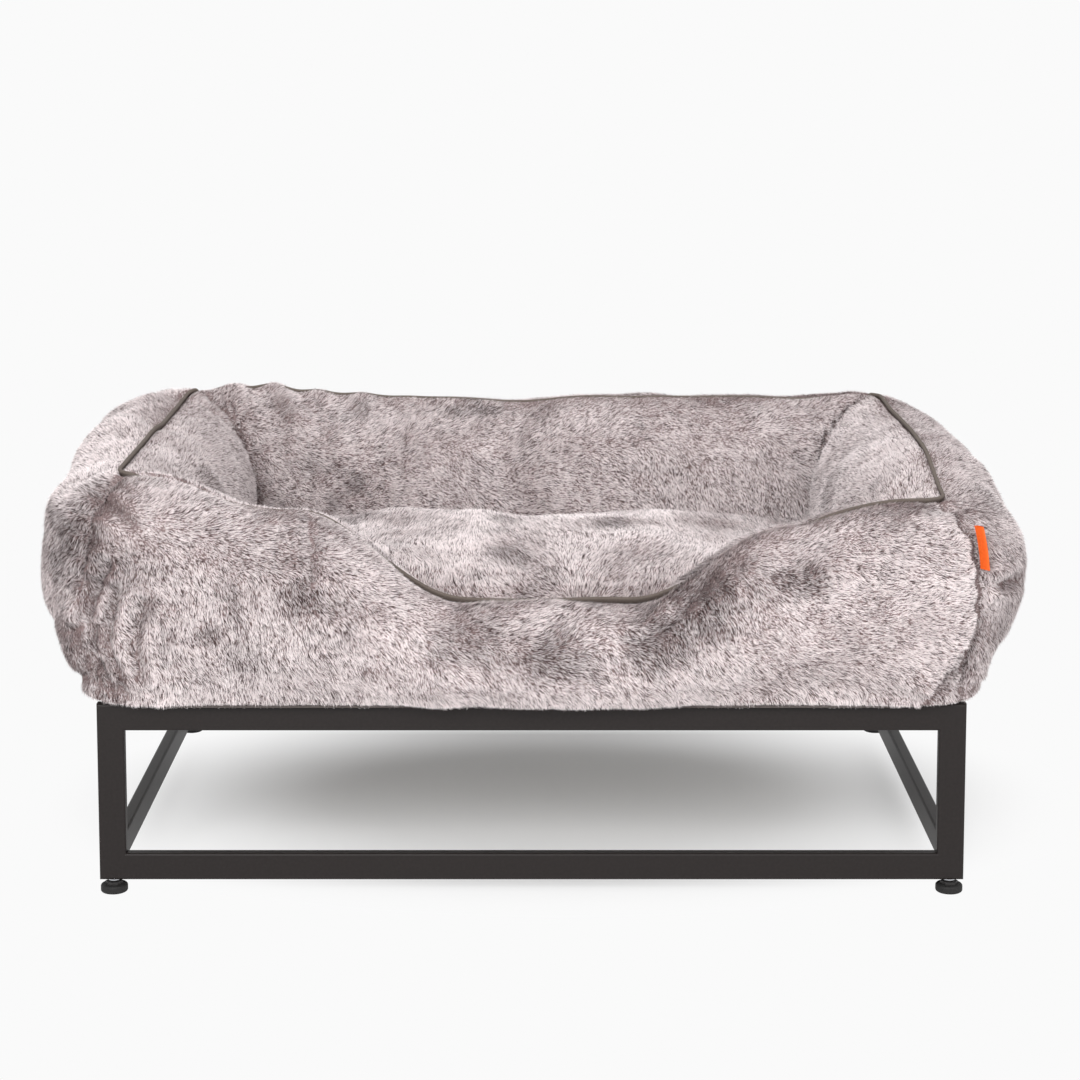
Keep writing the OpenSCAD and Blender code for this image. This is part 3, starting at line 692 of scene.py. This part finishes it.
def panel_fur(name, grid, normal, crease, seam_at_end, slants, painted_side_shade, seed):
    """Fur of a panel, combed aslant from the ridge with broad swirls, short along creases and painted
    darker there as shade.
    """
    down = np.gradient(grid, axis=1) * (-1 if seam_at_end else 1)
    down = unit(down - normal * np.sum(down * normal, axis=2, keepdims=True))
    across = np.cross(normal, down)
    run_in = run_across(grid)
    to_base = run_in if seam_at_end else run_in[:, -1:] - run_in
    slant = slants[0] + (slants[1] - slants[0]) * smooth(0.25, 0.75, normal[..., 2])
    angle = slant + 0.4 * noise(grid, 0.15, 11 + seed % 2) + 0.3 * noise(grid, 0.05, 13)
    angle *= 0.25 + 0.75 * smooth(0, 0.04, to_base)
    comb = down * np.cos(angle)[..., None] + across * np.sin(angle)[..., None]
    to_seam = run_in[:, -1:] - run_in if seam_at_end else run_in
    patches = patch_shade(grid)
    # Parted patches show the pile's own dark roots; the creases add painted shade
    parting_and_crease_shade = np.maximum(patches, 0.8 * crease)
    lean = FUR_LEAN + 0.12 * noise(grid, 0.04, 15) - 0.32 * patches
    length = STRAND * (0.65 + 0.35 * smooth(0, 0.03, to_seam)) * (1 - 0.35 * crease)
    # The whole panel is also painted darker, as shade for the side it faces
    tone = FUR_TONE + 0.05 * noise(grid, 0.05, 17) + 0.05 * noise(grid, 0.018, 18) - 0.08 * parting_and_crease_shade - painted_side_shade
    return coats(name, seed, grid, normal, comb, lean, length, np.clip(tone, 0, 1), parting_and_crease_shade)


# How far aslant the panels are combed, below and at the ridge, and how much darker each panel is
# painted, as shade for the side it faces
OUTER_SLANT = {"front": (1.05, 1.5), "right": (0.3, 0.35), "rear": (1.05, 1.5), "left": (0.1, -0.8)}
INNER_SLANT = {"front": (1.05, 0.9), "right": (-0.8, -1.2), "rear": (0.9, 1.5), "left": (0.9, 1.2)}
OUTER_PAINTED_SHADE = {"front": 0.0, "right": 0.12, "rear": 0.0, "left": 0.0}
INNER_PAINTED_SHADE = {"front": 0.08, "right": 0.08, "rear": 0.0, "left": 0.20}
for number, side in enumerate(SIDES):
    span = np.arange(first_ring[number], first_ring[number + 1] + 1) % RING_N
    n = len(span)
    body = bolster[span].reshape(-1, 3)
    i, j = np.meshgrid(np.arange(n - 1), np.arange(SECTION_N), indexing="ij")
    k = (j + 1) % SECTION_N
    here, there = i * SECTION_N, (i + 1) * SECTION_N
    quads = np.stack([here + j, there + j, there + k, here + k], 2)
    caps = [list(range(SECTION_N)), list(range((n - 1) * SECTION_N, n * SECTION_N))[::-1]]
    cover = new_object(f"{side}_bolster", body, quads.reshape(-1, 4).tolist() + caps, backing)
    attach(cover, "bed")
    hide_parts(f"{side}_outer_panel", f"{side}_inner_panel", f"{side}_fill")
    out, into = slice(0, SEAM + 1), slice(SEAM, INNER_END + 1)
    outer = panel_fur(
        f"{side}_outer_fur",
        bolster[span, out],
        normals[span, out],
        crease[span, out],
        True,
        OUTER_SLANT[side],
        OUTER_PAINTED_SHADE[side],
        100 + number,
    )
    inner = panel_fur(
        f"{side}_inner_fur",
        bolster[span, into],
        normals[span, into],
        crease[span, into],
        False,
        INNER_SLANT[side],
        INNER_PAINTED_SHADE[side],
        200 + number,
    )
    for coat_piece in outer + inner:
        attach(coat_piece, "bed")


# Piping: a cord along the seam of the ridge, with the flange that is sewn into the seam
def piping_mesh(name, line, radius, flange, sides, look):
    """A closed tube along a closed line of points, drawn out downwards into a flange."""
    n = len(line)
    way = unit(np.roll(line, -1, 0) - np.roll(line, 1, 0))
    level = unit(np.cross(way, [0, 0, 1.0]))
    rise = np.cross(level, way)
    turn = np.linspace(0, 2 * np.pi, sides, endpoint=False)[None, :, None]
    around = level[:, None] * np.cos(turn) + rise[:, None] * np.sin(turn)
    points = line[:, None] + np.where(np.sin(turn) < -0.99, radius + flange, radius) * around
    return new_object(name, points.reshape(-1, 3), torus_faces(n, sides), look)


seam_x = bolster[:, SEAM, 0]
# The fur closes over the piping along the rear and on both shoulders of the front
sunk = PIPING_SUNK * (ring_side == 2)
left_shoulder = smooth(-0.45, -0.41, seam_x) * smooth(-0.23, -0.27, seam_x)
right_shoulder = smooth(0.16, 0.20, seam_x) * smooth(0.33, 0.29, seam_x)
sunk += PIPING_SUNK * (ring_side == 0) * left_shoulder
sunk += PIPING_SUNK * (ring_side == 0) * right_shoulder
seam_line = bolster[:, SEAM] + np.stack([0 * sunk, 0 * sunk, SEAM_DEPTH - PIPING_LOW - sunk], 1)
for _ in range(6):
    seam_line = (np.roll(seam_line, 1, 0) + 2 * seam_line + np.roll(seam_line, -1, 0)) / 4
piping = piping_mesh("piping", seam_line, PIPING_R, PIPING_FLANGE, 12, piping_material)
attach(piping, "bed")
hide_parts("ridge_piping")


# Floor cushion: a crowned closed form whose sides pull in between its corners
SPOKES, DOME_RINGS = 150, 26
spoke = np.linspace(0, 2 * np.pi, SPOKES, endpoint=False)
# Its profile, as shares of the outline and heights
edge = [
    [0.93, 0.0],
    [0.975, 0.006],
    [1.0, 0.3 * CUSHION_EDGE_H],
    [0.99, 0.68 * CUSHION_EDGE_H],
    [0.93, CUSHION_EDGE_H],
]
CROWN_RISE = CUSHION_CROWN_H - CUSHION_EDGE_H
dome = [[s, CUSHION_CROWN_H - CROWN_RISE * s * s] for s in (0.82, 0.7, 0.55, 0.4, 0.25, 0.1, 0.012)]
profile = np.array(edge + dome)
profile = resampled(profile * [CUSHION_HALF[1], 1], DOME_RINGS) / [CUSHION_HALF[1], 1]


def outline(half, turn):
    """Places along one axis of the cushion's rounded outline, with that axis's share of the turn."""
    power = 2 / CUSHION_ROUNDNESS
    pull = CUSHION_PULL * (1 - np.abs(np.sin(2 * spoke)))
    return (half - CUSHION_INSET) * np.sign(turn) * np.abs(turn) ** power - pull * turn


rim = np.stack([outline(CUSHION_HALF[0], np.cos(spoke)), outline(CUSHION_HALF[1], np.sin(spoke))], 1)
rim = resampled(np.concatenate([rim, rim[:1]]), SPOKES + 1)[:-1]
cushion = np.empty((SPOKES, DOME_RINGS, 3))
cushion[..., :2] = rim[:, None] * profile[None, :, :1]
pile_share = np.minimum(1, profile[:, 1] / 0.05)
pile_depth = PILE * pile_share * smooth(0.99, 0.9, profile[:, 0])
cushion[..., 2] = BED_Z + CLOTH + (profile[:, 1] - pile_depth)[None]
crown = cushion[:, -1].mean(0) + [0, 0, 0.0006]
floor_middle = np.array([0, 0, BED_Z + CLOTH])
cushion_points = np.concatenate([cushion.reshape(-1, 3), [crown, floor_middle]])
cushion_faces = []
for s in range(SPOKES):
    a, b = s * DOME_RINGS, (s + 1) % SPOKES * DOME_RINGS
    cushion_faces += [[a + r, b + r, b + r + 1, a + r + 1] for r in range(DOME_RINGS - 1)]
    cushion_faces.append([a + DOME_RINGS - 1, b + DOME_RINGS - 1, SPOKES * DOME_RINGS])
    cushion_faces.append([b, a, SPOKES * DOME_RINGS + 1])
cushion_held = [s * DOME_RINGS for s in range(SPOKES)] + [SPOKES * DOME_RINGS + 1]
cushion_points = swollen(cushion_points, cushion_faces, cushion_held, CUSHION_PRESSURE, CLOTH_REACH)
cushion = cushion_points[: SPOKES * DOME_RINGS].reshape(SPOKES, DOME_RINGS, 3)
lumps = 0.005 * noise(cushion, 0.11, 31) + 0.0025 * noise(cushion, 0.05, 32)
level_share = np.linspace(0, 1, DOME_RINGS)[None]
lumps = lumps * smooth(0, 0.2, level_share) * smooth(1, 0.8, level_share)
cushion = cushion + grid_normals(cushion, (0,)) * lumps[..., None]
cushion_points[: SPOKES * DOME_RINGS] = cushion.reshape(-1, 3)
pad = new_object("floor_cushion", cushion_points, cushion_faces, backing)
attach(pad, "cushion")
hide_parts("cushion_cover", "cushion_foam")
closed = np.concatenate([cushion, cushion[:1]])
closed_normals = grid_normals(cushion, (0,))
closed_normals = np.concatenate([closed_normals, closed_normals[:1]])
heading = 0.9 * noise(closed, 0.12, 33) + 0.5 * noise(closed, 0.045, 34)
comb = np.stack([np.sin(heading), np.cos(heading), 0 * heading], 2)
comb = comb - closed_normals * np.sum(comb * closed_normals, axis=2, keepdims=True)
parted = 0.5 * smooth(0.45, 0.95, 0.6 * noise(closed, 0.07, 35) + 0.4 * noise(closed, 0.03, 36))
lean = CUSHION_FUR_LEAN + 0.12 * noise(closed, 0.04, 37) - 0.25 * parted
tone = FUR_TONE + 0.05 * noise(closed, 0.05, 38) + 0.05 * noise(closed, 0.018, 39) - 0.15 * parted
lengths = np.full(parted.shape, STRAND)
cushion_fur = coats("cushion_fur", 300, closed, closed_normals, comb, lean, lengths, tone, parted)
for coat_piece in cushion_fur:
    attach(coat_piece, "cushion")


# Tag: a plain folded tape standing out of the front right corner seam
tag_low, tag_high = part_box("seam_tag")
tag_root = np.array([tag_low[0], tag_high[1]])
tag_end = np.array([tag_high[0], tag_low[1]])
tag_way = (tag_end - tag_root) / np.linalg.norm(tag_end - tag_root)
tag_across = np.array([-tag_way[1], tag_way[0]])
TAG_ROWS, TAG_STEPS = 12, 17
TAG_REACH = 0.012
TAG_LEAN = 0.011
TAG_OUT = 0.003
tag_points = []
for row in np.linspace(0, 1, TAG_ROWS):
    z = tag_low[2] + (tag_high[2] - tag_low[2]) * row
    lean_in = TAG_LEAN * row - TAG_OUT
    for step in np.linspace(-1, 1, TAG_STEPS):
        reach = TAG_REACH * math.sqrt(max(0, 1 - abs(step) ** 3)) - lean_in
        aside = 0.0016 * math.sin(step * math.pi / 2) + 0.0015 * math.sin(row * 3)
        x, y = tag_root + tag_way * (reach + 0.002) + tag_across * aside
        tag_points.append((x, y, z))
tag_faces = [
    [r * TAG_STEPS + s, r * TAG_STEPS + s + 1, (r + 1) * TAG_STEPS + s + 1, (r + 1) * TAG_STEPS + s]
    for r in range(TAG_ROWS - 1)
    for s in range(TAG_STEPS - 1)
]
tag = new_object("tag", tag_points, tag_faces, tag_material)
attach(tag, "bed")
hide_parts("seam_tag")


# Stage: white floor and surroundings, soft lamps and the camera
WHITE = float(linear(250, 250, 250)[0])
SHADOW_MIDDLE = (0.03, 0.03, 0)
SHADOW_HALF = (0.60, 0.40, 1)
SHADOW_FADE = (0.42, 1.1)
SURROUND = 0.72
FLOOR_HALF = 9


def seen_directly(nodes, links):
    """A factor of 1 for what the camera sees, also in metal and glass, and 0 for light on the object."""
    path = nodes.new("ShaderNodeLightPath")
    factor = path.outputs["Is Camera Ray"]
    for kind in ("Is Glossy Ray", "Is Transmission Ray"):
        either = nodes.new("ShaderNodeMath")
        either.operation = "MAXIMUM"
        links.new(factor, either.inputs[0])
        links.new(path.outputs[kind], either.inputs[1])
        factor = either.outputs["Value"]
    return factor


def floor_material():
    """White floor that turns into the plain white of the surroundings away from the object."""
    m = material("floor", (0.96, 0.96, 0.96), 1.0, 0.0)
    nodes, links = m.node_tree.nodes, m.node_tree.links
    place = nodes.new("ShaderNodeTexCoord")
    centred = nodes.new("ShaderNodeVectorMath")
    centred.operation = "SUBTRACT"
    centred.inputs[1].default_value = SHADOW_MIDDLE
    scaled = nodes.new("ShaderNodeVectorMath")
    scaled.operation = "DIVIDE"
    scaled.inputs[1].default_value = SHADOW_HALF
    far = nodes.new("ShaderNodeVectorMath")
    far.operation = "LENGTH"
    fade = nodes.new("ShaderNodeMapRange")
    fade.interpolation_type = "SMOOTHSTEP"
    fade.inputs["From Min"].default_value = SHADOW_FADE[0]
    fade.inputs["From Max"].default_value = SHADOW_FADE[1]
    glow = nodes.new("ShaderNodeEmission")
    glow.inputs["Strength"].default_value = WHITE
    either = nodes.new("ShaderNodeMixShader")
    links.new(place.outputs["Object"], centred.inputs[0])
    links.new(centred.outputs["Vector"], scaled.inputs[0])
    links.new(scaled.outputs["Vector"], far.inputs[0])
    links.new(far.outputs["Value"], fade.inputs["Value"])
    shown = nodes.new("ShaderNodeMath")
    shown.operation = "MULTIPLY"
    links.new(fade.outputs["Result"], shown.inputs[0])
    links.new(seen_directly(nodes, links), shown.inputs[1])
    links.new(shown.outputs["Value"], either.inputs["Fac"])
    links.new(nodes["Principled BSDF"].outputs["BSDF"], either.inputs[1])
    links.new(glow.outputs["Emission"], either.inputs[2])
    links.new(either.outputs["Shader"], nodes["Material Output"].inputs["Surface"])
    return m


floor_corners = [(x * FLOOR_HALF, y * FLOOR_HALF, 0) for x, y in ((-1, -1), (1, -1), (1, 1), (-1, 1))]
floor = new_object("floor", floor_corners, [[0, 1, 2, 3]], floor_material())

world = bpy.data.worlds.new("white")
bpy.context.scene.world = world
world.use_nodes = True
nodes, links = world.node_tree.nodes, world.node_tree.links
surround = nodes["Background"]
surround.inputs["Color"].default_value = (1, 1, 1, 1)
surround.inputs["Strength"].default_value = SURROUND
plain = nodes.new("ShaderNodeBackground")
plain.inputs["Color"].default_value = (1, 1, 1, 1)
plain.inputs["Strength"].default_value = WHITE
either = nodes.new("ShaderNodeMixShader")
links.new(seen_directly(nodes, links), either.inputs["Fac"])
links.new(surround.outputs["Background"], either.inputs[1])
links.new(plain.outputs["Background"], either.inputs[2])
links.new(either.outputs["Shader"], nodes["World Output"].inputs["Surface"])


def lamp(name, place, target, size, power):
    data = bpy.data.lights.new(name, "AREA")
    data.shape = "DISK"
    data.size = size
    data.energy = power
    made = bpy.data.objects.new(name, data)
    made.location = place
    made.rotation_euler = (Vector(target) - Vector(place)).to_track_quat("-Z", "Y").to_euler()
    bpy.context.scene.collection.objects.link(made)


lamp("key", (-0.7, -3.1, 1.7), (0, -0.1, 0.3), 1.6, 73)
lamp("fill", (2.2, -2.6, 1.5), (0, -0.1, 0.3), 2.0, 31)
lamp("top", (0.1, 0.2, 3.0), (0, 0, 0.2), 2.2, 28)

camera_data = bpy.data.cameras.new("camera")
camera_data.lens = 85.87
camera_data.sensor_width = 36
camera_data.shift_y = -0.2
camera = bpy.data.objects.new("camera", camera_data)
camera.location = (0.0093, -3.098, 0.9724)
camera.rotation_euler = (math.radians(90 - 6.903), 0, 0)
bpy.context.scene.collection.objects.link(camera)
bpy.context.scene.camera = camera
bpy.context.scene.view_settings.view_transform = "Standard"
